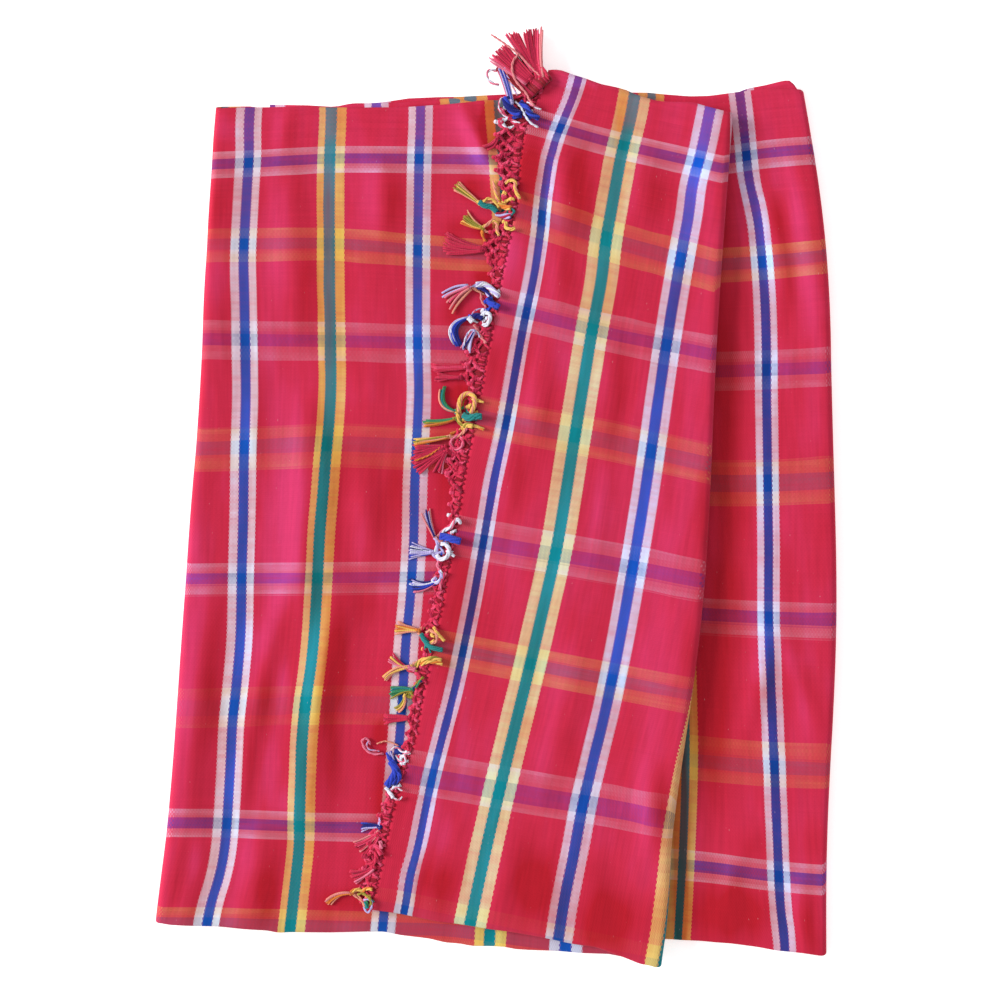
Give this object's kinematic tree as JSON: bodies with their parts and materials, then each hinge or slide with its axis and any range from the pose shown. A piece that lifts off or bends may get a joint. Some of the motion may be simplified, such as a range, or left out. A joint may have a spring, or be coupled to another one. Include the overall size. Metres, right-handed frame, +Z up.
{
  "type": "folded plaid blanket",
  "caption": "Red plaid woven blanket folded flat in layers, with a knotted tassel fringe lying across its top.",
  "frame": {"origin": "middle of the footprint, on the surface that the blanket lies on", "axes": "+Z up from the surface, +Y towards the open selvage side, -X towards the side that the fringe points to"},
  "size_m": [0.534, 0.7382, 0.0211],
  "materials": {
    "cloth": "matt woven cotton",
    "fringe": "matt twisted cotton yarn"
  },
  "bodies": {
    "root": {"cloth": "cloth", "fringe": "fringe"}
  },
  "joints": []
}
